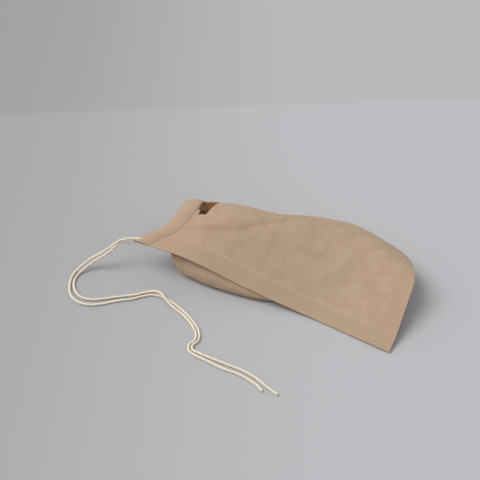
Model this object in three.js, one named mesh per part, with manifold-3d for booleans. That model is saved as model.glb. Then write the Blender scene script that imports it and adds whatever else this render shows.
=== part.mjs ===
// Self-fill tea bag: a flat paper filter bag with a cotton drawstring in its hem.
// Millimetres, +Z up. The bag lies on the table with its mouth towards -X, a little open.
import * as THREE from 'three';
import { mergeVertices } from 'three/addons/utils/BufferGeometryUtils.js';
import Module from 'manifold-3d';

const wasm = await Module();
wasm.setup();

// Paper: the cut sheets, their thickness and their seals
const SHEET_LENGTH = 80;
const SHEET_WIDTH = 50;
const PAPER = 0.25;
const END_SEAL = 5.5;
const LEAST_GAP = 0.45;

// Hem round the mouth, and the cotton string that runs in it
const HEM_WIDTH = 5.6;
const STRING_LINE = 2.7;
const STRING_DIAMETER = 0.8;
const STRING_CLEARANCE = 0.2;
const CHANNEL_RADIUS = STRING_DIAMETER / 2 + STRING_CLEARANCE;
const HEM_THICKNESS = 2 * (CHANNEL_RADIUS + PAPER);
const BEAK_THINNING = 0.35;

// The string's two strands leave the beak one above the other
const STRAND_SPACING = STRING_DIAMETER;
const EXIT_LENGTH = 1.5;

// Open notch behind the hem, cut through the upper sheet at its crest
const NOTCH_START = 9.5;
const NOTCH_LENGTH = 4.2;
const NOTCH_WIDTH = 8;
const NOTCH_SLANT = 1;
const NOTCH_FLOOR = 12;

// Facets
const FINEST_DETAIL = 0.02;
const STEPS_ACROSS = 3;
const STEPS_ALONG = 4;
const HEM_STEPS = 6;
const STRING_SIDES = 8;
const HEM_RUN_STEPS = 72;
const STRAND_STEPS = 44;

// The folded form. Each station lists the same lines across a sheet as [y, z], for a sheet of NET_WIDTH:
// near edge, inside of the near seal, turn beside it, panel, crest, shoulder, far slope, foot,
// inside of the far seal, far edge. Where the sheets lie together, only the upper one is listed.
const NET_WIDTH = 50;
const STATIONS = [
  {
    along: 0,
    upper: [[-4, 9], [0.4, 10.3], [2.6, 11], [5.8, 12.2], [10, 14.8], [14.2, 15.4], [20.5, 8.2], [25, 3.6],
      [28, 1.6], [33, 1.2]],
    under: [[-4, 9], [0.4, 10.3], [1.9, 9.1], [-2.2, 5], [-2, 1.2], [5, 0.25], [14, 0.25], [22, 0.6],
      [28, 1.6], [33, 1.2]],
  },
  {
    along: 0.2,
    upper: [[-3.4, 9.8], [2.2, 11], [4.2, 11.9], [7.2, 13.6], [13, 16.6], [18.5, 16.8], [26, 8.6], [30, 2],
      [31.2, 0.6], [36.6, 0.5]],
    under: [[-3.4, 9.8], [2.2, 11], [3.8, 9.8], [-2.2, 5.1], [-1.8, 0.9], [5, 0.25], [16, 0.25], [26, 0.25],
      [31.2, 0.6], [36.6, 0.5]],
  },
  {
    along: 0.45,
    upper: [[-0.9, 4.6], [4.4, 6.2], [7.4, 7.6], [14, 10.8], [24, 14.4], [27.4, 12.5], [33.6, 6.2], [37.6, 1.8],
      [38.8, 0.6], [44, 0.5]],
    under: [[-0.9, 4.6], [4.4, 6.2], [6.3, 5.2], [0.8, 2.2], [2.4, 0.5], [8, 0.25], [20, 0.25], [32, 0.25],
      [38.8, 0.6], [44, 0.5]],
  },
  {
    along: 0.575,
    upper: [[0.4, 2.3], [5.7, 3.8], [9.2, 5.4], [16.6, 8.7], [27.4, 12.7], [32.5, 10.2], [37.2, 5.1], [40.2, 1.7],
      [41.3, 0.6], [46.4, 0.5]],
    under: [[0.4, 2.3], [5.7, 3.8], [7.2, 2.8], [7.8, 1.4], [13, 0.6], [20, 0.4], [28, 0.25], [36.5, 0.25],
      [41.3, 0.6], [46.4, 0.5]],
  },
  {
    along: 0.7,
    upper: [[1.3, 0.6], [6.6, 2.1], [10.4, 3.7], [18, 6.8], [29.3, 11.3], [36.2, 8.3], [39.6, 4.4], [41.6, 1.7],
      [42.6, 0.6], [47.6, 0.5]],
    under: [[1.3, 0.6], [6.6, 2.1], [9.6, 1.9], [14.5, 1.9], [23, 3], [31, 3.4], [36.6, 2.2], [40.2, 0.8],
      [42.6, 0.6], [47.6, 0.5]],
  },
  {
    along: 1 - END_SEAL / SHEET_LENGTH,
    upper: [[0.3, 0.5], [5.5, 2], [9, 3.5], [16, 6.3], [25.6, 9.8], [34, 8], [37.6, 4.4], [39.4, 1.7],
      [40.2, 0.6], [43.6, 0.5]],
  },
  {
    along: 1,
    upper: [[0, 0.5], [5.2, 2.1], [8.4, 3.5], [14.5, 6], [23, 9.4], [30.6, 8.2], [35, 4.8], [37.4, 1.7],
      [38.4, 0.6], [41, 0.5]],
  },
];

// Where each of those lines starts at the mouth, for each sheet, and ends at the closed end, along X
const NET_LENGTH = 80;
const MOUTH_UPPER = [-5, -1.6, 0.4, 2, 3.5, 4.4, 3.2, 2.2, 2.6, 3.6];
const MOUTH_UNDER = [-5, -1.6, 3.6, 8.8, 12, 12, 9, 4, 2.8, 3.6];
const CLOSED_END = [80, 79.8, 79.5, 78.8, 77.5, 73.6, 71, 69.8, 69.4, 68];
const NEAR_SEAL_LINE = 1;
const FAR_SEAL_LINE = 8;
const END_SEAL_STATION = 5;

const across = SHEET_WIDTH / NET_WIDTH;
const along = SHEET_LENGTH / NET_LENGTH;

// Smooth grid of points from the stations: rows run across the bag, one after the other towards its closed end
function sheetGrid(pick) {
  const nets = STATIONS.map((station) => {
    const [rows, mouth] = pick(station);
    return rows.map(([y, z], line) => {
      const x = THREE.MathUtils.lerp(mouth[line], CLOSED_END[line], station.along);
      return new THREE.Vector3(x * along, y * across, z * across);
    });
  });
  const lines = nets[0].length - 1;
  const stations = nets.length - 1;
  const acrossSteps = lines * STEPS_ACROSS;
  const smoothNets = nets.map((net) => {
    const curve = new THREE.CatmullRomCurve3(net, false, 'centripetal');
    return Array.from({ length: acrossSteps + 1 }, (_, i) => curve.getPoint(i / acrossSteps));
  });
  const columns = smoothNets[0].map((_, i) => {
    const curve = new THREE.CatmullRomCurve3(smoothNets.map((net) => net[i]), false, 'centripetal');
    const firstSpan = smoothNets[0][i].distanceTo(smoothNets[1][i]);
    const hemShare = Math.min(HEM_WIDTH / firstSpan, 0.8) / stations;
    const hem = Array.from({ length: HEM_STEPS }, (_, j) => (hemShare * j) / HEM_STEPS);
    const rest = Array.from({ length: stations * STEPS_ALONG }, (_, j) => j / (stations * STEPS_ALONG));
    const steps = [...hem, hemShare, ...rest.filter((_, j) => j >= STEPS_ALONG - 1), 1];
    return steps.map((step) => {
      const point = curve.getPoint(step);
      return point.setZ(Math.max(point.z, PAPER));
    });
  });
  return columns[0].map((_, j) => columns.map((column) => column[j]));
}

const upperFace = sheetGrid((station) => [station.upper, MOUTH_UPPER]);
const underFace = sheetGrid((station) => (
  station.under ? [station.under, MOUTH_UNDER] : [station.upper, MOUTH_UPPER]));
const lastRow = upperFace.length - 1;
const lastColumn = upperFace[0].length - 1;
const nearSeal = NEAR_SEAL_LINE * STEPS_ACROSS;
const farSeal = FAR_SEAL_LINE * STEPS_ACROSS;
const endSeal = lastRow - STEPS_ALONG * (STATIONS.length - 1 - END_SEAL_STATION);

// Unit normals of a grid: upwards where its columns run towards +Y and its rows towards +X
function gridNormals(face) {
  return face.map((row, j) => row.map((_, i) => {
    const before = face[Math.max(j - 1, 0)][i];
    const after = face[Math.min(j + 1, lastRow)][i];
    const near = row[Math.max(i - 1, 0)];
    const far = row[Math.min(i + 1, lastColumn)];
    const alongBag = after.clone().sub(before);
    const acrossBag = far.clone().sub(near);
    return alongBag.cross(acrossBag).normalize();
  }));
}

const smooth = (value, from, to) => THREE.MathUtils.smoothstep(value, from, to);
const upperNormal = gridNormals(upperFace);

// Lay the under sheet against the upper one in the seals, and keep a least gap between them elsewhere
for (let j = 0; j <= lastRow; j += 1) {
  for (let i = 0; i <= lastColumn; i += 1) {
    const steps = Math.min(i - nearSeal, farSeal - i, endSeal - j);
    const face = upperFace[j][i];
    if (steps <= 0) {
      underFace[j][i].copy(face);
      continue;
    }
    const offset = underFace[j][i].clone().sub(face);
    const gap = -offset.dot(upperNormal[j][i]);
    const least = LEAST_GAP * Math.min(1, steps / 2);
    if (offset.length() < 2 && gap < least) {
      underFace[j][i].copy(face).addScaledVector(upperNormal[j][i], -least);
    }
  }
}
const underNormal = gridNormals(underFace).map((row) => row.map((normal) => normal.negate()));

// How much thicker than paper the hem is at a grid point: a low bead that holds the string's channel.
// On the upper sheet it thins towards the beak, and on the under one it starts in the belly.
const BELLY = nearSeal + 2 * STEPS_ACROSS;
function hemBead(face, j, i, start) {
  const inwards = face[j][i].distanceTo(face[0][i]);
  const rise = smooth(inwards, 0, STRING_LINE - CHANNEL_RADIUS * 1.8);
  const fall = 1 - smooth(inwards, STRING_LINE + CHANNEL_RADIUS * 1.3, HEM_WIDTH);
  return (HEM_THICKNESS - PAPER) * Math.min(rise, fall) * start;
}
const upperStart = (i) => THREE.MathUtils.lerp(BEAK_THINNING, 1, smooth(i, 0, nearSeal));
const underStart = (i) => smooth(i, BELLY - STEPS_ACROSS - 1, BELLY);

// The bead stands outside the upper sheet, and inside the under one as far as the far seal
const inwardShare = (i) => 1 - smooth(i, farSeal - 2 * STEPS_ACROSS, farSeal);

const onTable = (point) => (point.z < PAPER / 4 ? point.setZ(0) : point);
const faces = { upperOut: [], upperIn: upperFace, underIn: [], underOut: [] };
for (let j = 0; j <= lastRow; j += 1) {
  const row = { upperOut: [], underIn: [], underOut: [] };
  for (let i = 0; i <= lastColumn; i += 1) {
    const up = upperNormal[j][i];
    const sealed = Math.min(i - nearSeal, farSeal - i, endSeal - j) <= 0;
    const down = sealed ? up.clone().negate() : underNormal[j][i];
    const upperBead = hemBead(upperFace, j, i, upperStart(i));
    const underBead = hemBead(underFace, j, i, underStart(i));
    const inward = underBead * inwardShare(i);
    const outward = underBead - inward;
    row.upperOut.push(onTable(upperFace[j][i].clone().addScaledVector(up, PAPER + upperBead)));
    row.underIn.push(underFace[j][i].clone().addScaledVector(down, -inward));
    row.underOut.push(onTable(underFace[j][i].clone().addScaledVector(down, PAPER + outward)));
  }
  faces.upperOut.push(row.upperOut);
  faces.underIn.push(row.underIn);
  faces.underOut.push(row.underOut);
}

// A closed skin from four-sided patches, each split along its shorter diagonal
class Skin {
  corners = [];

  patch(a, b, c, d) {
    const order = a.distanceTo(c) <= b.distanceTo(d) ? [a, b, c, a, c, d] : [a, b, d, b, c, d];
    order.forEach((point) => this.corners.push(point.x, point.y, point.z));
  }

  geometry() {
    const geometry = new THREE.BufferGeometry();
    geometry.setAttribute('position', new THREE.Float32BufferAttribute(this.corners, 3));
    return mergeVertices(geometry, 1e-4);
  }
}

function bagGeometry() {
  const { upperOut, upperIn, underIn, underOut } = faces;
  const skin = new Skin();
  for (let j = 0; j < lastRow; j += 1) {
    for (let i = 0; i < lastColumn; i += 1) {
      skin.patch(upperOut[j][i], upperOut[j + 1][i], upperOut[j + 1][i + 1], upperOut[j][i + 1]);
      skin.patch(underOut[j][i + 1], underOut[j + 1][i + 1], underOut[j + 1][i], underOut[j][i]);
      if (j < endSeal && i >= nearSeal && i < farSeal) {
        skin.patch(upperIn[j][i + 1], upperIn[j + 1][i + 1], upperIn[j + 1][i], upperIn[j][i]);
        skin.patch(underIn[j][i], underIn[j + 1][i], underIn[j + 1][i + 1], underIn[j][i + 1]);
      }
    }
    for (const [outer, inner] of [[upperOut, upperIn], [upperIn, underOut]]) {
      skin.patch(outer[j][0], inner[j][0], inner[j + 1][0], outer[j + 1][0]);
      skin.patch(outer[j + 1][lastColumn], inner[j + 1][lastColumn], inner[j][lastColumn], outer[j][lastColumn]);
    }
  }
  for (let i = 0; i < lastColumn; i += 1) {
    for (const [outer, inner] of [[upperOut, upperIn], [underIn, underOut]]) {
      skin.patch(outer[0][i], outer[0][i + 1], inner[0][i + 1], inner[0][i]);
    }
    for (const [outer, inner] of [[upperOut, upperIn], [upperIn, underOut]]) {
      skin.patch(outer[lastRow][i + 1], outer[lastRow][i], inner[lastRow][i], inner[lastRow][i + 1]);
    }
  }
  return skin.geometry();
}

// Joins and cuts of closed shapes
function solidOf(geometry) {
  const plain = geometry.clone();
  plain.deleteAttribute('normal');
  plain.deleteAttribute('uv');
  const merged = mergeVertices(plain, 1e-4);
  const vertProperties = new Float32Array(merged.attributes.position.array);
  const triVerts = new Uint32Array(merged.index.array);
  return new wasm.Manifold(new wasm.Mesh({ numProp: 3, vertProperties, triVerts }));
}

function geometryOf(solid) {
  const mesh = solid.getMesh();
  const geometry = new THREE.BufferGeometry();
  geometry.setAttribute('position', new THREE.BufferAttribute(new Float32Array(mesh.vertProperties), 3));
  geometry.setIndex(new THREE.BufferAttribute(new Uint32Array(mesh.triVerts), 1));
  return geometry;
}

// A round bar along a route
function tube(points, radius, steps) {
  const section = new THREE.Shape();
  for (let side = 0; side < STRING_SIDES; side += 1) {
    const turn = (side / STRING_SIDES) * Math.PI * 2;
    const [x, y] = [Math.cos(turn) * radius, Math.sin(turn) * radius];
    if (side === 0) section.moveTo(x, y);
    else section.lineTo(x, y);
  }
  const path = new THREE.CatmullRomCurve3(points, false, 'centripetal');
  return new THREE.ExtrudeGeometry(section, { steps, extrudePath: path });
}

// The string's run through the hem of one sheet, as far as the far seal
function hemRun(face, normal, side) {
  const run = [];
  for (let i = side === 'under' ? BELLY - 1 : 2; i <= farSeal; i += 2) {
    const row = face.findIndex((r) => r[i].distanceTo(face[0][i]) >= STRING_LINE);
    const before = face[row - 1][i];
    const after = face[row][i];
    const share = (STRING_LINE - before.distanceTo(face[0][i])) / after.distanceTo(before);
    const point = before.clone().lerp(after, share);
    const inward = side === 'under' ? inwardShare(i) : 0;
    const depth = PAPER + CHANNEL_RADIUS;
    run.push(point.addScaledVector(normal[row][i], depth - inward * (HEM_THICKNESS - PAPER)));
  }
  return run;
}

const upperRun = hemRun(upperFace, upperNormal, 'upper');
const underRun = hemRun(underFace, underNormal, 'under').reverse();
const beakTip = upperFace[0][0];
const hemExit = (height) => beakTip.clone().add(new THREE.Vector3(-EXIT_LENGTH, 0, height));
const UNDER_BEAK = [[1.5, 0.2, 9.1], [-2.2, -1.8, 8.7]].map((point) => new THREE.Vector3(...point));
const hemLoop = [hemExit(STRAND_SPACING), ...upperRun, ...underRun, ...UNDER_BEAK, hemExit(-STRAND_SPACING)];

// The two free ends of the string, from the beak to the table and along it, as [x, y, height of the middle].
// The lower one passes over the upper one in a low hump.
const LYING = STRING_DIAMETER / 2;
const UPPER_STRAND = [
  [-8.6, -5.6, 8.9], [-10.9, -8, 6.9], [-13.4, -10.4, 5], [-15.6, -12, 3.4], [-17.2, -14.3, 1.9],
  [-18.1, -17.1, 0.8], [-17.6, -20.2, LYING], [-15.9, -23.2, LYING], [-14.3, -25.2, LYING],
  [-11.6, -27, LYING], [-8.4, -27.6, LYING], [-5.1, -26.6, LYING], [-2.5, -24.6, LYING],
  [-0.2, -22.2, LYING], [1.8, -20.3, LYING], [4, -18.4, LYING], [6.2, -15.8, LYING],
  [8.2, -13.9, LYING], [11, -13.1, LYING], [14.3, -13.3, LYING], [18.4, -14.4, LYING],
  [21.6, -15.5, LYING], [25.1, -17.2, LYING], [27.7, -18.9, LYING], [29.7, -21, LYING],
  [30.6, -23.4, LYING], [30.2, -25.3, LYING], [30.9, -26.8, LYING], [33, -27.1, LYING],
  [37.9, -27, LYING], [42.4, -26.8, LYING], [47, -26.6, LYING], [51.8, -27.1, LYING],
  [55.4, -28.2, LYING], [60, -29.4, LYING],
];
const LOWER_STRAND = [
  [-8.7, -5.9, 7.2], [-10.4, -9, 5.3], [-12.6, -11.4, 3.6], [-14.6, -13, 2.2], [-16, -15, 1.1],
  [-16.8, -17.4, 0.5], [-16.4, -20, LYING], [-14.9, -22.4, LYING], [-12.7, -24.3, LYING],
  [-9.8, -25.4, LYING], [-6.5, -24.8, LYING], [-3.4, -22.6, LYING], [-0.9, -20.4, LYING],
  [1.4, -18.5, LYING], [3.8, -16.5, LYING], [6.2, -14, 0.6], [8.8, -12.7, 1.2], [11.3, -13.1, 1.65],
  [13.7, -14.2, 1.3], [16.3, -15.4, 0.7], [19.3, -16.5, LYING], [23, -18, LYING],
  [26.4, -19.8, LYING], [28.4, -22, LYING], [28.8, -24.3, LYING], [28.6, -26.5, LYING],
  [29.8, -28.3, LYING], [32.4, -28.8, LYING], [35.4, -28.5, LYING], [38.4, -28.5, LYING],
  [41.6, -28.7, LYING], [45, -28.4, LYING], [48.2, -28.3, LYING], [51.2, -28.8, LYING],
  [53.7, -29.4, LYING], [55.7, -30.4, LYING],
];

// One string: its run through the hem, joined to its two free ends inside the beak's mouth
function drawstring() {
  const strand = (height, route) => {
    const root = hemExit(height);
    const inside = root.clone().add(new THREE.Vector3(EXIT_LENGTH / 2, 0, 0));
    const points = route.map((point) => new THREE.Vector3(...point));
    return solidOf(tube([inside, root, ...points], STRING_DIAMETER / 2, STRAND_STEPS));
  };
  const run = solidOf(tube(hemLoop, STRING_DIAMETER / 2, HEM_RUN_STEPS));
  return run.add(strand(STRAND_SPACING, UPPER_STRAND)).add(strand(-STRAND_SPACING, LOWER_STRAND));
}

// Prism over the notch, from above the under sheet to above the crest
function notch() {
  const near = STATIONS[0].upper[4][0] * across;
  const end = NOTCH_START + NOTCH_LENGTH;
  const shape = new THREE.Shape();
  shape.moveTo(NOTCH_START, near);
  shape.lineTo(end - NOTCH_SLANT, near + NOTCH_SLANT);
  shape.lineTo(end, near + NOTCH_WIDTH);
  shape.lineTo(NOTCH_START - NOTCH_SLANT, near + NOTCH_WIDTH);
  shape.closePath();
  const cutter = new THREE.ExtrudeGeometry(shape, { depth: NOTCH_FLOOR, bevelEnabled: false });
  return cutter.translate(0, 0, NOTCH_FLOOR * across);
}

const paper = new THREE.MeshStandardMaterial({ color: 0xc8a988, roughness: 0.9, metalness: 0 });
const cotton = new THREE.MeshStandardMaterial({ color: 0xe9e0cf, roughness: 0.95, metalness: 0 });
const group = new THREE.Group();

function addPart(name, geometry, material) {
  const mesh = new THREE.Mesh(geometry, material);
  mesh.name = name;
  group.add(mesh);
}

const channel = solidOf(tube(hemLoop, CHANNEL_RADIUS, HEM_RUN_STEPS));
const bag = solidOf(bagGeometry()).subtract(channel).subtract(solidOf(notch()));

// The origin is under the middle of the bag
const { min, max } = bag.boundingBox();
const toOrigin = [-(min[0] + max[0]) / 2, -(min[1] + max[1]) / 2, -min[2]];
const finished = (solid) => geometryOf(solid.translate(toOrigin).simplify(FINEST_DETAIL));
addPart('filter_bag', finished(bag), paper);
addPart('drawstring', finished(drawstring()), cotton);
export default group;
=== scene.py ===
import math

import bmesh
import bpy
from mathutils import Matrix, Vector, noise


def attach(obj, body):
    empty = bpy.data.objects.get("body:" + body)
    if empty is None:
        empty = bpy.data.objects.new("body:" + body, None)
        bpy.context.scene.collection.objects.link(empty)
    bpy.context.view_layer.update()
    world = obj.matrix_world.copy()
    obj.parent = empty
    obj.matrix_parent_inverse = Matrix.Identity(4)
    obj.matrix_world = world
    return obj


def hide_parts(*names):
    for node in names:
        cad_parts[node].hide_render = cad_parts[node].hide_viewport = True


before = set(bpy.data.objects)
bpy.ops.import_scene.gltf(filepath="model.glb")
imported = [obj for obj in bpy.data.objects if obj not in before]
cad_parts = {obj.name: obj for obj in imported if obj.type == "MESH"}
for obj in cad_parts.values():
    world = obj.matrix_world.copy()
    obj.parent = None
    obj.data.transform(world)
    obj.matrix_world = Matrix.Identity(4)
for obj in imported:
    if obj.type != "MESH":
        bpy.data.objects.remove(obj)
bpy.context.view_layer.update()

MM = 0.001
# Middle of the paper bag in the plan that the lines below are measured in, in millimetres
BAG_MIDDLE = (37.496, 21.748, 0.0)

# Paper, seams and string, in millimetres
SHEET_LENGTH = 80.0
PAPER_THICKNESS = 0.12
END_SEAL = 5.5
HEM_WIDTH = 5.6
STRING_LINE = 2.7
STRING_DIAMETER = 0.8
# Height of the upper strand's start over the hem's tip, and of the tip over the lower strand's start
STRAND_RISE = 0.8

# Camera: 40 degrees down, seen across the bag from its near mouth corner, place in millimetres
VIEW_TURN = math.radians(30)
VIEW_DOWN = math.radians(40)
CAMERA_PLACE = (93.4, -194.45, 189.0)
LENS_MM = 67.5
SENSOR_MM = 36.0


def metres(point):
    """A point of the plan in millimetres, from the bag's middle in metres."""
    return Vector(p - m for p, m in zip(point, BAG_MIDDLE)) * MM


def add_camera():
    """The camera that looks down at the bag."""
    data = bpy.data.cameras.new("camera")
    data.lens = LENS_MM
    data.sensor_width = SENSOR_MM
    data.clip_start = 0.01
    data.clip_end = 20
    camera = bpy.data.objects.new("camera", data)
    bpy.context.collection.objects.link(camera)
    camera.location = Vector(CAMERA_PLACE) * MM
    camera.rotation_euler = (math.pi / 2 - VIEW_DOWN, 0, VIEW_TURN)
    bpy.context.scene.camera = camera


add_camera()


# Smooth lines

LEAST_KNOT = 1e-4


def spline(points, t):
    """Centripetal Catmull-Rom curve through the points, t from 0 to 1."""
    last = len(points) - 1
    place = min(max(t, 0.0), 1.0) * last
    start = min(int(place), last - 1)
    part = place - start
    b, c = points[start], points[start + 1]
    a = points[start - 1] if start > 0 else b * 2 - c
    d = points[start + 2] if start + 2 <= last else c * 2 - b
    middle = max((c - b).length ** 0.5, LEAST_KNOT)
    before = max((b - a).length ** 0.5, LEAST_KNOT)
    after = max((d - c).length ** 0.5, LEAST_KNOT)
    leave = ((b - a) / before - (c - a) / (before + middle) + (c - b) / middle) * middle
    arrive = ((c - b) / middle - (d - b) / (middle + after) + (d - c) / after) * middle
    bend = (c - b) * 3 - leave * 2 - arrive
    rest = (b - c) * 2 + leave + arrive
    return b + leave * part + bend * part**2 + rest * part**3


def smooth(value, start, end):
    """Share from 0 at start to 1 at end, level at both."""
    share = min(max((value - start) / (end - start), 0.0), 1.0)
    return share * share * (3 - 2 * share)


# Folded form: each station is a share of the way from the mouth to the closed end, with ten lines across the
# upper and the under sheet as (y, z) in millimetres: near edge, inside of near seal, turn, panel, crest,
# shoulder, far slope, foot, inside of far seal and far edge. In the end seal both sheets share their lines.
STATIONS = [
    (0.0,
     [(-4, 9), (0.4, 10.3), (2.6, 11), (5.8, 12.2), (10, 14.8), (14.2, 15.4), (20.5, 8.2), (25, 3.6),
      (28, 1.6), (33, 1.2)],
     [(-4, 9), (0.4, 10.3), (1.9, 9.1), (-2.2, 5), (-2, 1.2), (5, 0.25), (14, 0.25), (22, 0.6),
      (28, 1.6), (33, 1.2)]),
    (0.2,
     [(-3.4, 9.8), (2.2, 11), (4.2, 11.9), (7.2, 13.6), (13, 16.6), (18.5, 16.8), (26, 8.6), (30, 2),
      (31.2, 0.6), (36.6, 0.5)],
     [(-3.4, 9.8), (2.2, 11), (3.8, 9.8), (-2.2, 5.1), (-1.8, 0.9), (5, 0.25), (16, 0.25), (26, 0.25),
      (31.2, 0.6), (36.6, 0.5)]),
    (0.45,
     [(-0.9, 4.6), (4.4, 6.2), (7.4, 7.6), (14, 10.8), (24, 14.4), (27.4, 12.5), (33.6, 6.2), (37.6, 1.8),
      (38.8, 0.6), (44, 0.5)],
     [(-0.9, 4.6), (4.4, 6.2), (6.3, 5.2), (0.8, 2.2), (2.4, 0.5), (8, 0.25), (20, 0.25), (32, 0.25),
      (38.8, 0.6), (44, 0.5)]),
    (0.575,
     [(0.4, 2.3), (5.7, 3.8), (9.2, 5.4), (16.6, 8.7), (27.4, 12.7), (32.5, 10.2), (37.2, 5.1), (40.2, 1.7),
      (41.3, 0.6), (46.4, 0.5)],
     [(0.4, 2.3), (5.7, 3.8), (7.2, 2.8), (7.8, 1.4), (13, 0.6), (20, 0.4), (28, 0.25), (36.5, 0.25),
      (41.3, 0.6), (46.4, 0.5)]),
    (0.7,
     [(1.3, 0.6), (6.6, 2.1), (10.4, 3.7), (18, 6.8), (29.3, 11.3), (36.2, 8.3), (39.6, 4.4), (41.6, 1.7),
      (42.6, 0.6), (47.6, 0.5)],
     [(1.3, 0.6), (6.6, 2.1), (9.6, 1.9), (14.5, 1.9), (23, 3), (31, 3.4), (36.6, 2.2), (40.2, 0.8),
      (42.6, 0.6), (47.6, 0.5)]),
    (1 - END_SEAL / SHEET_LENGTH,
     [(0.3, 0.5), (5.5, 2), (9, 3.5), (16, 6.3), (25.6, 9.8), (34, 8), (37.6, 4.4), (39.4, 1.7),
      (40.2, 0.6), (43.6, 0.5)], None),
    (1.0,
     [(0, 0.5), (5.2, 2.1), (8.4, 3.5), (14.5, 6), (23, 9.4), (30.6, 8.2), (35, 4.8), (37.4, 1.7),
      (38.4, 0.6), (41, 0.5)], None),
]
# How far along the bag, in millimetres, each line starts at the mouth and ends at the closed end
MOUTH_UPPER = [-5, -1.6, 0.4, 2, 3.2, 3.2, 0.8, -1.2, 0, 2]
MOUTH_UNDER = [-5, -1.6, 3.6, 8.8, 12, 12, 8, 1, 0, 2]
CLOSED_END = [80, 79.8, 79.5, 78.8, 77.5, 73.6, 71, 69.8, 69.4, 68]
LINES = len(CLOSED_END) - 1
SPANS = len(STATIONS) - 1
NEAR_SEAL_LINE = 1
FAR_SEAL_LINE = 8
END_SEAL_STATION = 5
# Lowest height of the sheets' faces over the table, in millimetres
LOWEST = PAPER_THICKNESS + 0.02

# Mesh of a sheet: its steps between two stations and between two lines
ROWS_PER_SPAN = 26
COLUMNS_PER_LINE = 15


def sheet_points(which):
    """Rows of points of one sheet in millimetres, from the mouth to the closed end."""
    nets = []
    for along, upper, under in STATIONS:
        apart = which == "under" and under
        lines = under if apart else upper
        mouth = MOUTH_UNDER if apart else MOUTH_UPPER
        xs = [m + (e - m) * along for m, e in zip(mouth, CLOSED_END)]
        nets.append([Vector((x, y, z)) for x, (y, z) in zip(xs, lines)])
    columns = LINES * COLUMNS_PER_LINE
    rows = SPANS * ROWS_PER_SPAN
    across = [[spline(net, i / columns) for i in range(columns + 1)] for net in nets]
    lengthwise = [[net[i] for net in across] for i in range(columns + 1)]
    places = [[spline(line, j / rows) for line in lengthwise] for j in range(rows + 1)]
    for row in places:
        for point in row:
            point.z = max(point.z, LOWEST)
    return places


def normals_of(points):
    """The face's direction at each of the rows of points."""
    last_row, last_column = len(points) - 1, len(points[0]) - 1
    return [
        [
            (points[min(j + 1, last_row)][i] - points[max(j - 1, 0)][i])
            .cross(points[j][min(i + 1, last_column)] - points[j][max(i - 1, 0)])
            .normalized()
            for i in range(last_column + 1)
        ]
        for j in range(last_row + 1)
    ]


def flat_places(points):
    """Where each point lies on the flat sheet, in millimetres from the mouth and from the near edge."""
    rows, columns = len(points), len(points[0])
    along = [[0.0] * columns for _ in range(rows)]
    across = [[0.0] * columns for _ in range(rows)]
    for j in range(rows):
        for i in range(columns):
            if j:
                along[j][i] = along[j - 1][i] + (points[j][i] - points[j - 1][i]).length
            if i:
                across[j][i] = across[j][i - 1] + (points[j][i] - points[j][i - 1]).length
    return along, across


upper_points = sheet_points("upper")
under_points = sheet_points("under")
upper_normals = normals_of(upper_points)
ROWS = len(upper_points) - 1
COLUMNS = len(upper_points[0]) - 1
NEAR_SEAL = NEAR_SEAL_LINE * COLUMNS_PER_LINE
FAR_SEAL = FAR_SEAL_LINE * COLUMNS_PER_LINE
CLOSED_SEAL = END_SEAL_STATION * ROWS_PER_SPAN
# Least gap between the two sheets inside the bag, and how near they are where it is kept, in millimetres
LEAST_GAP = 0.4
NEAR_OTHER = 2.0
# A step along the bag counts as this share of a step across it, and the gap opens over these steps across
ROW_SHARE = 0.7
OPENING_COLUMNS = 0.7 * COLUMNS_PER_LINE


def seal_steps(i, j, row_share=1.0):
    """Steps of the mesh from the nearest seal, positive inside the bag."""
    return min(i - NEAR_SEAL, FAR_SEAL - i, (CLOSED_SEAL - j) * row_share)


def weld_sheets():
    """Lays the under sheet on the upper one in the seals, and keeps it below elsewhere."""
    for j in range(ROWS + 1):
        for i in range(COLUMNS + 1):
            inside = seal_steps(i, j, ROW_SHARE)
            face = upper_points[j][i]
            if inside <= 0:
                under_points[j][i] = face.copy()
                continue
            away = under_points[j][i] - face
            least = LEAST_GAP * min(1.0, inside / OPENING_COLUMNS)
            if away.length < NEAR_OTHER and -away.dot(upper_normals[j][i]) < least:
                under_points[j][i] = face - upper_normals[j][i] * least


weld_sheets()
upper_along, upper_across = flat_places(upper_points)


# Creases of the upper sheet as plan lines in millimetres, with their height and half-width
CREASES = [
    ((7, 5.4), (25, 12.5), 0.7, 1.2),
    ((25, 12.5), (35, 22.5), -0.7, 1.5),
    ((22, 3.2), (27, 11), 0.25, 1.5),
    ((36, 9.5), (52, 9.8), 0.3, 2.0),
    ((44, 26), (62, 21), -0.35, 3.0),
    ((52, 13), (64, 34), 0.7, 4.5),
    ((60, 4.5), (74, 9), 0.18, 2.2),
    ((33, 23.5), (51, 28.6), 0.45, 1.4),
    ((51, 28.6), (74, 30), 0.45, 1.6),
]
# Soft waves of both sheets and of their seals, as height and size in millimetres
RIPPLES = [(0.16, 14.0), (0.07, 6.0), (0.03, 2.4)]
SEAL_RIPPLE = (0.12, 9.0)
# Where the noise is read for each sheet and for the seals
UPPER_SEED = 3.0
UNDER_SEED = 11.0
SEAL_SEED = Vector((2, 5, 1))
# Steps outside a seal's inner line where creases start
CREASE_START = -4


def line_distance(point, start, end):
    """Distance of a plan point from a straight line between two others."""
    line = Vector(end) - Vector(start)
    share = min(max((point - Vector(start)).dot(line) / line.length_squared, 0.0), 1.0)
    return (point - Vector(start) - line * share).length


def paper_lift(point, seed, creased):
    """How far handling has lifted the paper at a point, in millimetres."""
    lift = sum(height * noise.noise(point / size + Vector((seed, seed, 0))) for height, size in RIPPLES)
    if creased:
        plan = Vector((point.x, point.y))
        for start, end, height, width in CREASES:
            lift += height * math.exp(-line_distance(plan, start, end) / width)
    return lift


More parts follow.
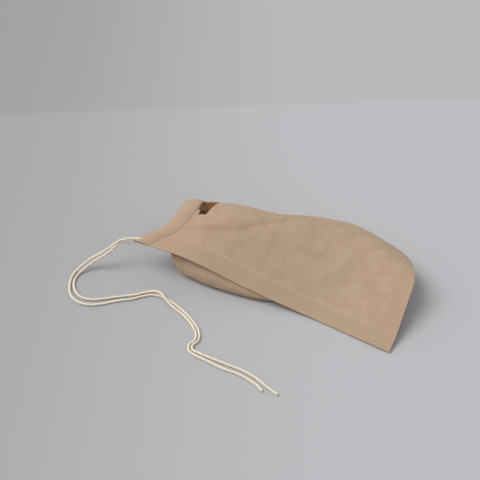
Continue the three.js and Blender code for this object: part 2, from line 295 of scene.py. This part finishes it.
def crumpled(points, seed, creased):
    """The rows of points, with the paper's creases and soft waves."""
    normals = normals_of(points)
    seal_height, seal_size = SEAL_RIPPLE
    out = []
    for j, row in enumerate(points):
        new_row = []
        for i, point in enumerate(row):
            loose = smooth(seal_steps(i, j), CREASE_START, COLUMNS_PER_LINE)
            lift = paper_lift(point, seed, creased) * loose
            lift += seal_height * noise.noise(point / seal_size + SEAL_SEED) * (1 - loose)
            moved = point + normals[j][i] * lift
            moved.z = max(moved.z, LOWEST)
            new_row.append(moved)
        out.append(new_row)
    return out


upper_rows = crumpled(upper_points, UPPER_SEED, True)
under_rows = crumpled(under_points, UNDER_SEED, False)
for j in range(ROWS + 1):
    for i in range(COLUMNS + 1):
        if seal_steps(i, j) <= 0:
            under_rows[j][i] = upper_rows[j][i].copy()


# Materials


def node_group(name, inputs, outputs):
    """An empty node group with its sockets; inputs are (name, kind, value)."""
    group = bpy.data.node_groups.new(name, "ShaderNodeTree")
    for socket, kind, value in inputs:
        made = group.interface.new_socket(name=socket, in_out="INPUT", socket_type=kind)
        if value is not None:
            made.default_value = value
    for socket, kind in outputs:
        group.interface.new_socket(name=socket, in_out="OUTPUT", socket_type=kind)
    return group, group.nodes.new("NodeGroupInput"), group.nodes.new("NodeGroupOutput")


def add(tree, kind, **values):
    """A node with its plain properties and, by socket name, its input values."""
    node = tree.nodes.new(kind)
    for name, value in values.items():
        if hasattr(node, name):
            setattr(node, name, value)
        else:
            node.inputs[name.replace("_", " ")].default_value = value
    return node


# Turn of each of the two sets of fibres, in radians, with how finely it is stretched along each axis
FIBRE_SETS = [(0.4, (900, 5200, 900)), (-0.7, (5200, 900, 900))]
# Where a crossing of fibres starts to show and where it shows fully
FIBRE_SHOWS = (0.12, 0.4)


def make_fibres():
    """Fine crossed fibres and soft cloudiness, as in unbleached filter paper."""
    group, inside, out = node_group(
        "paper_fibres",
        [("Vector", "NodeSocketVector", None)],
        [("Clouds", "NodeSocketFloat"), ("Fibres", "NodeSocketFloat"), ("Height", "NodeSocketFloat")],
    )
    link = group.links.new
    clouds = add(group, "ShaderNodeTexNoise", Scale=260.0, Detail=4.0, Roughness=0.6)
    link(inside.outputs["Vector"], clouds.inputs["Vector"])
    strands = []
    for turn, stretch in FIBRE_SETS:
        place = add(group, "ShaderNodeMapping", Rotation=(0, 0, turn), Scale=stretch)
        fibre = add(group, "ShaderNodeTexNoise", Scale=1.0, Detail=2.0)
        link(inside.outputs["Vector"], place.inputs["Vector"])
        link(place.outputs["Vector"], fibre.inputs["Vector"])
        strands.append(fibre)
    both = add(group, "ShaderNodeMath", operation="MULTIPLY")
    link(strands[0].outputs["Fac"], both.inputs[0])
    link(strands[1].outputs["Fac"], both.inputs[1])
    start, end = FIBRE_SHOWS
    spread = add(group, "ShaderNodeMapRange", From_Min=start, From_Max=end)
    link(both.outputs["Value"], spread.inputs["Value"])
    height = add(group, "ShaderNodeMath", operation="ADD")
    link(spread.outputs["Result"], height.inputs[0])
    link(clouds.outputs["Fac"], height.inputs[1])
    link(clouds.outputs["Fac"], out.inputs["Clouds"])
    link(spread.outputs["Result"], out.inputs["Fibres"])
    link(height.outputs["Value"], out.inputs["Height"])
    return group


fibres = make_fibres()


def colour_mix(tree, share, low, high):
    """Mixes two colours, each a socket or a value, by a share that is a socket or a number."""
    mix = tree.nodes.new("ShaderNodeMix")
    mix.data_type = "RGBA"
    for name, value in (("Factor_Float", share), ("A_Color", low), ("B_Color", high)):
        socket = next(s for s in mix.inputs if s.identifier == name)
        if isinstance(value, bpy.types.NodeSocket):
            tree.links.new(value, socket)
        else:
            socket.default_value = value
    return next(s for s in mix.outputs if s.identifier == "Result_Color")


def map_share(tree, value, low, high):
    """A socket's share of the way from low to high."""
    spread = add(tree, "ShaderNodeMapRange", From_Min=low, From_Max=high)
    tree.links.new(value, spread.inputs["Value"])
    return spread.outputs["Result"]


def times(tree, first, second):
    """The product of two sockets or numbers."""
    product = add(tree, "ShaderNodeMath", operation="MULTIPLY")
    for socket, value in zip(product.inputs, (first, second)):
        if isinstance(value, bpy.types.NodeSocket):
            tree.links.new(value, socket)
        else:
            socket.default_value = value
    return product.outputs["Value"]


def new_material(name):
    """A material with its node tree, its shader node and its output node."""
    material = bpy.data.materials.new(name)
    material.use_nodes = True
    tree = material.node_tree
    return material, tree, tree.nodes["Principled BSDF"], tree.nodes["Material Output"]


PAPER_LIGHT = (0.58, 0.455, 0.335, 1)
PAPER_DARK = (0.5, 0.385, 0.265, 1)
PAPER_SEALED = (0.54, 0.41, 0.28, 1)
PAPER_THROUGH = (0.84, 0.51, 0.19, 1)
# Colour of the painted highlight along the near seal's inner ridge line
SEAM_RIDGE_HIGHLIGHT = (0.66, 0.52, 0.41, 1)
# Share of the light that the paper lets through
PAPER_GLOW = 0.4
# Where the cloudiness goes from dark to light, and how strongly each mark colours the paper
CLOUDINESS = (0.35, 0.68)
FIBRE_SHARE = 0.25
SEALED_SHARE = 0.75
# The next two shares colour the painted highlights along the near seal's ridge and along the edges
RIDGE_HIGHLIGHT_SHARE = 0.3
EDGE_HIGHLIGHT_SHARE = 0.5
CRIMP_SHARE = 0.5


def make_paper():
    """Unbleached filter paper: pressed seals, fibres, cloudiness, painted ridge and edge highlights, warm
    light through it.
    """
    material, tree, shader, out = new_material("filter_paper")
    link = tree.links.new
    place = tree.nodes.new("ShaderNodeTexCoord")
    grain = tree.nodes.new("ShaderNodeGroup")
    grain.node_tree = fibres
    link(place.outputs["Object"], grain.inputs["Vector"])
    # The seam marks hold the sealed share and two painted highlights, the seal's ridge and the edges
    marks = add(tree, "ShaderNodeAttribute", attribute_name="seam")
    parts = tree.nodes.new("ShaderNodeSeparateColor")
    link(marks.outputs["Color"], parts.inputs["Color"])
    sealed, ridge_highlight, edge_highlight = parts.outputs

    cloudiness = map_share(tree, grain.outputs["Clouds"], *CLOUDINESS)
    base = colour_mix(tree, cloudiness, PAPER_DARK, PAPER_LIGHT)
    base = colour_mix(tree, times(tree, grain.outputs["Fibres"], FIBRE_SHARE), base, PAPER_LIGHT)
    base = colour_mix(tree, times(tree, sealed, SEALED_SHARE), base, PAPER_SEALED)
    # Painted highlight along the near seal's inner ridge
    base = colour_mix(tree, times(tree, ridge_highlight, RIDGE_HIGHLIGHT_SHARE), base, SEAM_RIDGE_HIGHLIGHT)
    # Painted highlight: edges and folds paled towards PAPER_LIGHT
    base = colour_mix(tree, times(tree, edge_highlight, EDGE_HIGHLIGHT_SHARE), base, PAPER_LIGHT)
    link(base, shader.inputs["Base Color"])
    shader.inputs["Roughness"].default_value = 0.82
    shader.inputs["Specular IOR Level"].default_value = 0.25
    shader.inputs["Sheen Weight"].default_value = 0.15
    shader.inputs["Sheen Roughness"].default_value = 0.6

    crimp = add(tree, "ShaderNodeTexWave", wave_type="BANDS", bands_direction="DIAGONAL", Scale=420.0)
    link(place.outputs["Object"], crimp.inputs["Vector"])
    pressed = times(tree, crimp.outputs["Fac"], times(tree, sealed, CRIMP_SHARE))
    relief = add(tree, "ShaderNodeMath", operation="ADD")
    link(grain.outputs["Height"], relief.inputs[0])
    link(pressed, relief.inputs[1])
    bump = add(tree, "ShaderNodeBump", Strength=0.35, Distance=0.00012)
    link(relief.outputs["Value"], bump.inputs["Height"])
    link(bump.outputs["Normal"], shader.inputs["Normal"])

    glow = tree.nodes.new("ShaderNodeBsdfTranslucent")
    glow.inputs["Color"].default_value = PAPER_THROUGH
    link(bump.outputs["Normal"], glow.inputs["Normal"])
    mixed = tree.nodes.new("ShaderNodeMixShader")
    mixed.inputs["Fac"].default_value = PAPER_GLOW
    link(shader.outputs["BSDF"], mixed.inputs[1])
    link(glow.outputs["BSDF"], mixed.inputs[2])
    link(mixed.outputs["Shader"], out.inputs["Surface"])
    return material


COTTON_LIGHT = (0.8, 0.74, 0.62, 1)
# Painted shade of the valleys between the plies, and the colour of the short darker fibres
COTTON_DARK_FIBRE_AND_SHADE = (0.56, 0.47, 0.34, 1)
FUZZ_SHARE = 0.3


def make_cotton():
    """Natural cotton yarn: painted shade in the valleys between its plies, with short fibres."""
    material, tree, shader, _ = new_material("cotton_string")
    link = tree.links.new
    place = tree.nodes.new("ShaderNodeTexCoord")
    marks = add(tree, "ShaderNodeAttribute", attribute_name="ply")
    fuzz = add(tree, "ShaderNodeTexNoise", Scale=5200.0, Detail=3.0, Roughness=0.7)
    link(place.outputs["Object"], fuzz.inputs["Vector"])
    # Painted shade: darker towards the valleys between the plies
    base = colour_mix(tree, marks.outputs["Fac"], COTTON_DARK_FIBRE_AND_SHADE, COTTON_LIGHT)
    base = colour_mix(tree, times(tree, fuzz.outputs["Fac"], FUZZ_SHARE), base, COTTON_DARK_FIBRE_AND_SHADE)
    link(base, shader.inputs["Base Color"])
    shader.inputs["Roughness"].default_value = 0.9
    shader.inputs["Sheen Weight"].default_value = 0.3
    shader.inputs["Specular IOR Level"].default_value = 0.2
    bump = add(tree, "ShaderNodeBump", Strength=0.5, Distance=0.0001)
    link(fuzz.outputs["Fac"], bump.inputs["Height"])
    link(bump.outputs["Normal"], shader.inputs["Normal"])
    return material


paper = make_paper()
cotton = make_cotton()


# Paper pieces


def finish_piece(name, form, material):
    """A smooth shaded object from its form, riding on the only body."""
    mesh = bpy.data.meshes.new(name)
    form.to_mesh(mesh)
    form.free()
    mesh.materials.append(material)
    mesh.polygons.foreach_set("use_smooth", [True] * len(mesh.polygons))
    piece = bpy.data.objects.new(name, mesh)
    bpy.context.collection.objects.link(piece)
    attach(piece, "root")
    return piece


def thicken(piece, thickness, side):
    """Gives a sheet its thickness on one side: 1 outside its normals, -1 inside."""
    solidify = piece.modifiers.new("thickness", "SOLIDIFY")
    solidify.thickness = thickness * MM
    solidify.offset = side


def grid_form(rows):
    """A grid whose points are moved to the rows of points, in metres."""
    form = bmesh.new()
    bmesh.ops.create_grid(form, x_segments=len(rows) - 1, y_segments=len(rows[0]) - 1, size=0.5)
    last_row, last_column = len(rows) - 1, len(rows[0]) - 1
    for vertex in form.verts:
        j = round((vertex.co.x + 0.5) * last_row)
        i = round((vertex.co.y + 0.5) * last_column)
        vertex.co = metres(rows[j][i])
        vertex.index = j * (last_column + 1) + i
    return form


# Half-widths of the painted highlights along the near seal's inner ridge and along an edge, how far inside
# the seal the ridge lies, the length over which its highlight fades before the end seal, and where the
# pressed seal starts to fade, all in millimetres
RIDGE_HIGHLIGHT_WIDTH = 0.45
EDGE_HIGHLIGHT_WIDTH = 0.5
RIDGE_PLACE = 0.3
RIDGE_HIGHLIGHT_FADE = 4.0
SEAL_OUTSIDE = -0.5


def seal_and_highlight_marks(j, i, along, across):
    """Shares of sealed paper, of the ridge's painted highlight and of an edge's painted highlight at a point.
    """
    from_near = across[j][i] - across[j][NEAR_SEAL]
    from_far = across[j][FAR_SEAL] - across[j][i]
    from_end = along[CLOSED_SEAL][i] - along[j][i]
    inner = min(from_near, from_far, from_end)
    sealed = 1 - smooth(inner, SEAL_OUTSIDE, RIDGE_PLACE)
    # Painted highlight along the near seal's inner line, fading before the end seal
    ridge_highlight = math.exp(-((from_near - RIDGE_PLACE) / RIDGE_HIGHLIGHT_WIDTH) ** 2) * smooth(from_end, 0, RIDGE_HIGHLIGHT_FADE)
    # Painted highlight along every edge of the sheet
    edge = min(across[j][i], across[j][-1] - across[j][i], along[-1][i] - along[j][i], along[j][i])
    return sealed, ridge_highlight, math.exp(-edge / EDGE_HIGHLIGHT_WIDTH)


def mark_seals_and_highlights(form, rows, along, across):
    """Writes the seal marks and the painted highlights into the vertex colours of a sheet's grid."""
    layer = form.verts.layers.float_color.new("seam")
    columns = len(rows[0])
    for vertex in form.verts:
        j, i = divmod(vertex.index, columns)
        vertex[layer] = (*seal_and_highlight_marks(j, i, along, across), 1)


# Open notch behind the hem, as a four-sided plan, with the least height and the plan radius of what it cuts,
# all in millimetres
NOTCH = [(9.5, 10), (12.7, 11), (13.7, 18), (8.5, 18)]
NOTCH_FLOOR = 12.0
NOTCH_REACH = 9.0


def cut_notch(form):
    """Cuts the notch out of the upper sheet along its four sides."""
    corners = [metres((x, y, 0)) for x, y in NOTCH]
    middle = sum(corners, Vector()) / len(corners)

    def near_notch(face):
        place = face.calc_center_median()
        return (place.xy - middle.xy).length < NOTCH_REACH * MM and place.z > NOTCH_FLOOR * MM

    for start, end in zip(corners, corners[1:] + corners[:1]):
        outwards = Vector((end.y - start.y, start.x - end.x, 0)).normalized()
        faces = [face for face in form.faces if near_notch(face)]
        edges = list({edge for face in faces for edge in face.edges})
        points = list({point for face in faces for point in face.verts})
        bmesh.ops.bisect_plane(form, geom=faces + edges + points, plane_co=start, plane_no=outwards)

    def in_notch(face):
        place = face.calc_center_median()
        sides = zip(corners, corners[1:] + corners[:1])
        return near_notch(face) and all(
            (end.x - start.x) * (place.y - start.y) - (end.y - start.y) * (place.x - start.x) > 0
            for start, end in sides
        )

    bmesh.ops.delete(form, geom=[face for face in form.faces if in_notch(face)], context="FACES")


def make_sheet(name, rows, along, across, notched, side):
    """One sheet of the bag, with its thickness on one side."""
    form = grid_form(rows)
    mark_seals_and_highlights(form, rows, along, across)
    bmesh.ops.recalc_face_normals(form, faces=form.faces)
    if notched:
        cut_notch(form)
    piece = finish_piece(name, form, paper)
    thicken(piece, PAPER_THICKNESS, side)
    return piece


# The hem: steps from the mouth to its free edge, its rise over the string with its half-width, the lengths
# over which it comes down at its free edge and rises from the mouth's fold, and its soft waves, with every
# length in millimetres
HEM_STEPS = 24
HEM_BULGE = 0.52
HEM_LINE_WIDTH = 2.4
HEM_LANDING = 1.2
HEM_FOLD = 0.8
HEM_WAVE = 0.1
HEM_WAVE_SIZE = 3.0
HEM_WAVE_START = 1.5
# Share of the hem's width where its sealed edge starts
HEM_SEALED_FROM = 0.6


def at_distance(rows, along, i, distance):
    """The point of a column at a distance in millimetres from the mouth."""
    j = next(j for j in range(1, len(rows)) if along[j][i] >= distance)
    share = (distance - along[j - 1][i]) / (along[j][i] - along[j - 1][i])
    return rows[j - 1][i].lerp(rows[j][i], share)


def hem_rows(rows, along, first, last, fade):
    """The hem's folded layer from its mouth edge to its free edge, bulging over the string."""
    steps = [HEM_WIDTH * k / HEM_STEPS for k in range(HEM_STEPS + 1)]
    flat = [[at_distance(rows, along, i, s) for i in range(first, last + 1)] for s in steps]
    normals = normals_of(flat)
    out = []
    for k, distance in enumerate(steps):
        over_string = math.exp(-(((distance - STRING_LINE) / HEM_LINE_WIDTH) ** 2))
        over_string *= smooth(HEM_WIDTH - distance, 0, HEM_LANDING)
        laid = PAPER_THICKNESS * smooth(distance, 0, HEM_FOLD)
        row = []
        for c, point in enumerate(flat[k]):
            lift = laid + HEM_BULGE * over_string * fade(first + c)
            lift += HEM_WAVE * noise.noise(point / HEM_WAVE_SIZE) * smooth(distance, 0, HEM_WAVE_START)
            row.append(point + normals[k][c] * lift)
        out.append(row)
    return out


def make_hem(name, rows, along, first, last, fade):
    """The folded hem of one sheet, a second layer of paper over the string, with painted highlights along its
    edges.
    """
    form = grid_form(hem_rows(rows, along, first, last, fade))
    layer = form.verts.layers.float_color.new("seam")
    columns = last - first + 1
    for vertex in form.verts:
        k = vertex.index // columns
        edge = min(k, HEM_STEPS - k) * HEM_WIDTH / HEM_STEPS
        sealed = smooth(k, HEM_STEPS * HEM_SEALED_FROM, HEM_STEPS)
        # Painted highlight along the hem's mouth fold and its free edge
        vertex[layer] = (sealed, 0, math.exp(-edge / EDGE_HIGHLIGHT_WIDTH), 1)
    bmesh.ops.recalc_face_normals(form, faces=form.faces)
    piece = finish_piece(name, form, paper)
    thicken(piece, PAPER_THICKNESS, 1)
    return piece


under_along, under_across = flat_places(under_rows)
upper_sheet = make_sheet("upper_sheet", upper_rows, upper_along, upper_across, True, 1)
under_sheet = make_sheet("under_sheet", under_rows, under_along, under_across, False, -1)
# Column where the under hem starts, and the columns over which its rise over the string grows to full
UNDER_HEM_START = 2 * COLUMNS_PER_LINE
UNDER_HEM_RISE = 2 * COLUMNS_PER_LINE
upper_hem = make_hem("upper_hem", upper_rows, upper_along, 0, COLUMNS, lambda i: 1)
under_hem = make_hem(
    "under_hem", under_rows, under_along, UNDER_HEM_START, FAR_SEAL,
    lambda i: smooth(i, UNDER_HEM_START, UNDER_HEM_START + UNDER_HEM_RISE),
)
for piece in (upper_sheet, under_sheet, upper_hem, under_hem):
    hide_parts("filter_bag")


# Drawstring: the points of its two free strands, from the hem's tip to their cut ends, in millimetres
LYING = STRING_DIAMETER / 2
UPPER_STRAND = [
    (-8.6, -5.6, 8.9), (-10.9, -8, 6.9), (-13.4, -10.4, 5), (-15.6, -12, 3.4), (-17.2, -14.3, 1.9),
    (-18.1, -17.1, 0.8), (-17.6, -20.2, LYING), (-15.9, -23.2, LYING), (-14.3, -25.2, LYING),
    (-11.6, -27, LYING), (-8.4, -27.6, LYING), (-5.1, -26.6, LYING), (-2.5, -24.6, LYING),
    (-0.2, -22.2, LYING), (1.8, -20.3, LYING), (4, -18.4, LYING), (6.2, -15.8, LYING),
    (8.2, -13.9, LYING), (11, -13.1, LYING), (14.3, -13.3, LYING), (18.4, -14.4, LYING),
    (21.6, -15.5, LYING), (25.1, -17.2, LYING), (27.7, -18.9, LYING), (29.7, -21, LYING),
    (30.6, -23.4, LYING), (30.2, -25.3, LYING), (30.9, -26.8, LYING), (33, -27.1, LYING),
    (37.9, -27, LYING), (42.4, -26.8, LYING), (47, -26.6, LYING), (51.8, -27.1, LYING),
    (55.4, -28.2, LYING), (60, -29.4, LYING),
]
LOWER_STRAND = [
    (-8.7, -5.9, 7.9), (-10.5, -8.8, 6), (-12.8, -11.2, 4.1), (-14.8, -12.9, 2.6), (-16.1, -15, 1.3),
    (-16.8, -17.4, 0.5), (-16.4, -20, LYING), (-14.9, -22.4, LYING), (-12.7, -24.3, LYING),
    (-9.8, -25.4, LYING), (-6.5, -24.8, LYING), (-3.4, -22.6, LYING), (-0.9, -20.4, LYING),
    (1.4, -18.5, LYING), (3.8, -16.5, LYING), (6.2, -14, 0.6), (8.8, -12.7, 1.2), (11.3, -13.1, 1.65),
    (13.7, -14.2, 1.3), (16.3, -15.1, 0.7), (18.9, -15.7, LYING), (21.2, -16.4, LYING),
    (24.6, -18, LYING), (27.1, -19.7, LYING), (28.9, -21.5, LYING), (29.6, -23.5, LYING),
    (29.2, -25.5, LYING), (30.2, -27.6, LYING), (32.7, -28.3, LYING), (35.4, -28.4, LYING),
    (38.4, -28.5, LYING), (41.6, -28.7, LYING), (45, -28.4, LYING), (48.2, -28.3, LYING),
    (51.2, -28.8, LYING), (53.7, -29.4, LYING), (55.7, -30.4, LYING),
]
# Whole lengths of the free strands in metres
UPPER_STRAND_LENGTH = 0.115
LOWER_STRAND_LENGTH = 0.11
# The hem's tip, the string's way from the under sheet's hem to it, and how far out of it the strands start
BEAK_TIP = Vector((-5, -4, 8.6))
UNDER_BEAK = [Vector((1.5, 0.2, 9.1)), Vector((-2.2, -1.8, 8.7))]
EXIT_LENGTH = 1.5
# Yarn: its plies with the depth of their valleys as a share of the radius, the length in which they turn on
# by one ply, its unevenness, and the steps of its mesh, with every length in millimetres
PLIES = 3
PLY_DEPTH = 0.13
TWIST_PITCH = 2.6
UNEVENNESS = 0.1
UNEVEN_LENGTH = 3.0
UNEVEN_SEED = (1.7, 0.3)
STRING_SIDES = 12
STEP_LENGTH = 0.22
FINE_STEPS = 40
# Points nearer than this, in metres, are one
SAME_PLACE = 1e-6
# The cut ends are this thin, as a share of the diameter, and full after this length in millimetres
END_THIN = 0.55
END_LENGTH = 0.4
# How thin the hem presses the string, as a share of its diameter, and how far from its ends this starts and
# is full, in millimetres
HEM_SQUEEZE = 0.6
SQUEEZE_START = 2.0
SQUEEZE_FULL = 5.0


def even_path(points, step):
    """Points in millimetres a step apart along the smooth line through the given ones."""
    steps = FINE_STEPS * len(points)
    fine = [spline(points, k / steps) for k in range(steps + 1)]
    out = [fine[0]]
    for point in fine[1:-1]:
        if (point - out[-1]).length >= step:
            out.append(point)
    return [*out, fine[-1]]


def make_yarn(name, points, squeeze=1.0):
    """A twisted yarn along a path in millimetres, a little uneven, squeezed between its two ends."""
    path = even_path(points, STEP_LENGTH)
    last = len(path) - 1
    form = bmesh.new()
    bmesh.ops.create_grid(form, x_segments=last, y_segments=STRING_SIDES, size=0.5)
    layer = form.verts.layers.float_color.new("ply")
    directions = [(path[min(k + 1, last)] - path[max(k - 1, 0)]).normalized() for k in range(last + 1)]
    sides = [directions[0].orthogonal().normalized()]
    travelled = [0.0]
    for k in range(1, len(path)):
        turn = directions[k - 1].rotation_difference(directions[k])
        sides.append((turn @ sides[-1]).normalized())
        travelled.append(travelled[-1] + (path[k] - path[k - 1]).length)
    for vertex in form.verts:
        k = round((vertex.co.x + 0.5) * last)
        angle = (vertex.co.y + 0.5) * 2 * math.pi
        twist = travelled[k] / TWIST_PITCH * 2 * math.pi / PLIES
        ply = 0.5 + 0.5 * math.cos(PLIES * (angle - twist))
        ends = min(travelled[k], travelled[-1] - travelled[k])
        radius = STRING_DIAMETER / 2 * (1 - PLY_DEPTH + PLY_DEPTH * ply)
        radius *= 1 + UNEVENNESS * noise.noise(Vector((travelled[k] / UNEVEN_LENGTH, *UNEVEN_SEED)))
        radius *= END_THIN + (1 - END_THIN) * smooth(ends, 0, END_LENGTH)
        radius *= 1 - (1 - squeeze) * smooth(ends, SQUEEZE_START, SQUEEZE_FULL)
        around = sides[k] * math.cos(angle) + directions[k].cross(sides[k]) * math.sin(angle)
        # The ply share, low in the valleys, carries the painted shade into the colour
        vertex[layer] = (ply, ply, ply, 1)
        vertex.co = metres(path[k] + around * radius)
    bmesh.ops.remove_doubles(form, verts=form.verts, dist=SAME_PLACE)
    bmesh.ops.holes_fill(form, edges=form.edges)
    bmesh.ops.recalc_face_normals(form, faces=form.faces)
    piece = finish_piece(name, form, cotton)
    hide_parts("drawstring")
    return piece, [tuple(metres(point)) for point in path]


def hem_exit(height):
    """Where a strand starts, in front of the hem's tip and by a height over it."""
    return BEAK_TIP + Vector((-EXIT_LENGTH, 0, height))


# Columns between two points of the string's run in the hem, and the length in millimetres that gives the
# paper's direction there
RUN_STEP = 5
AHEAD = 0.5


def hem_run(rows, along, first, last):
    """The string's line through a hem, between its two layers of paper."""
    columns = range(first, last + 1, RUN_STEP)
    base = [at_distance(rows, along, i, STRING_LINE) for i in columns]
    ahead = [at_distance(rows, along, i, STRING_LINE + AHEAD) for i in columns]
    run = []
    for k, point in enumerate(base):
        beside = base[min(k + 1, len(base) - 1)] - base[max(k - 1, 0)]
        up = (ahead[k] - point).cross(beside).normalized()
        run.append(point + up * (PAPER_THICKNESS + STRING_DIAMETER * HEM_SQUEEZE / 2))
    return run


# Columns where the string's run starts in the upper hem, and where it starts and ends in the under hem
UPPER_RUN_START = 8
UNDER_RUN_START = UNDER_HEM_START + 10
UNDER_RUN_END = FAR_SEAL - 3
upper_run = hem_run(upper_rows, upper_along, UPPER_RUN_START, FAR_SEAL)
under_run = hem_run(under_rows, under_along, UNDER_RUN_START, UNDER_RUN_END)
make_yarn(
    "hem_string",
    [hem_exit(STRAND_RISE), *upper_run, *reversed(under_run), *UNDER_BEAK, hem_exit(-STRAND_RISE)],
    HEM_SQUEEZE,
)
for name, height, route, length in (
    ("upper_strand", STRAND_RISE, UPPER_STRAND, UPPER_STRAND_LENGTH),
    ("lower_strand", -STRAND_RISE, LOWER_STRAND, LOWER_STRAND_LENGTH),
):
    root = hem_exit(height)
    strand, line = make_yarn(name, [root, *map(Vector, route)])


# Table and light

VIEW_RIGHT = Vector((math.cos(VIEW_TURN), math.sin(VIEW_TURN), 0))
VIEW_AHEAD = Vector((-math.sin(VIEW_TURN), math.cos(VIEW_TURN), 0))
# Two places where the table turns to its backdrop's grey, to the right and ahead of the camera's foot in
# millimetres, and the width of that turn in metres
BACKDROP_LEFT = (-94.4, 303.4)
BACKDROP_RIGHT = (96.8, 315.5)
# Table and backdrop colours at the painted shade's dim left and at their pale right
TABLE_SHADED_LEFT = (0.29, 0.291, 0.292, 1)
TABLE_PALE = (0.4, 0.403, 0.418, 1)
BACKDROP_SHADED_LEFT = (0.27, 0.267, 0.26, 1)
BACKDROP_PALE = (0.385, 0.38, 0.373, 1)
BACKDROP_TURN = (-0.004, 0.001)
# Where the painted shade of the grey's dim left fades to its pale right, in metres from the bag's middle
PAINTED_SHADE_TURN = (-0.13, 0.03)
TABLE_SIZE = 2.0


def from_camera(right, ahead):
    """A point on the table by its distances in millimetres from the camera's foot, to the right and ahead."""
    foot = Vector((CAMERA_PLACE[0], CAMERA_PLACE[1], 0))
    return (foot + VIEW_RIGHT * right + VIEW_AHEAD * ahead) * MM


def distance_share(tree, place, point, direction, turn):
    """Share from 0 to 1 between the turn's two distances, in metres from a point along a direction."""
    centred = add(tree, "ShaderNodeVectorMath", operation="SUBTRACT")
    tree.links.new(place, centred.inputs[0])
    centred.inputs[1].default_value = point
    along = add(tree, "ShaderNodeVectorMath", operation="DOT_PRODUCT")
    tree.links.new(centred.outputs["Vector"], along.inputs[0])
    along.inputs[1].default_value = direction
    start, end = turn
    share = add(tree, "ShaderNodeMapRange", interpolation_type="SMOOTHSTEP", From_Min=start, From_Max=end)
    tree.links.new(along.outputs["Value"], share.inputs["Value"])
    return share.outputs["Result"]


def make_table_material():
    """A plain matt table with painted shade darkening its left, that turns to the backdrop's grey behind the
    bag.
    """
    material, tree, shader, _ = new_material("table_top")
    place = tree.nodes.new("ShaderNodeTexCoord").outputs["Object"]
    left, right = from_camera(*BACKDROP_LEFT), from_camera(*BACKDROP_RIGHT)
    behind = Vector((left.y - right.y, right.x - left.x, 0)).normalized()
    # Painted shade: the table and backdrop darker towards the left
    across = distance_share(tree, place, Vector(), VIEW_RIGHT, PAINTED_SHADE_TURN)
    beyond = distance_share(tree, place, left, behind, BACKDROP_TURN)
    table = colour_mix(tree, across, TABLE_SHADED_LEFT, TABLE_PALE)
    backdrop = colour_mix(tree, across, BACKDROP_SHADED_LEFT, BACKDROP_PALE)
    tree.links.new(colour_mix(tree, beyond, table, backdrop), shader.inputs["Base Color"])
    shader.inputs["Roughness"].default_value = 0.8
    shader.inputs["Specular IOR Level"].default_value = 0.2
    return material


def add_table():
    """A wide flat table at height 0."""
    form = bmesh.new()
    bmesh.ops.create_grid(form, x_segments=1, y_segments=1, size=TABLE_SIZE)
    mesh = bpy.data.meshes.new("table_top")
    form.to_mesh(mesh)
    form.free()
    mesh.materials.append(make_table_material())
    table = bpy.data.objects.new("table_top", mesh)
    bpy.context.collection.objects.link(table)


add_table()


def add_light(name, place, size, power, colour):
    """A round soft lamp turned to the bag."""
    data = bpy.data.lights.new(name, "AREA")
    data.shape = "DISK"
    data.size = size
    data.energy = power
    data.color = colour
    lamp = bpy.data.objects.new(name, data)
    bpy.context.collection.objects.link(lamp)
    lamp.location = place
    lamp.rotation_euler = (-Vector(place)).to_track_quat("-Z", "Y").to_euler()


# A soft window to the left of the camera: place and size in metres, power in watts and colour
add_light("window", (-1.45, -0.85, 2.3), 2.1, 64, (1.0, 0.99, 0.97))

ROOM_COLOUR = (0.97, 0.985, 1.0, 1)
ROOM_STRENGTH = 0.72


def set_world():
    """Even light from all round, as in a pale room."""
    world = bpy.data.worlds.new("studio")
    world.use_nodes = True
    bpy.context.scene.world = world
    background = world.node_tree.nodes["Background"]
    background.inputs["Color"].default_value = ROOM_COLOUR
    background.inputs["Strength"].default_value = ROOM_STRENGTH


set_world()
bpy.context.scene.view_settings.view_transform = "Standard"
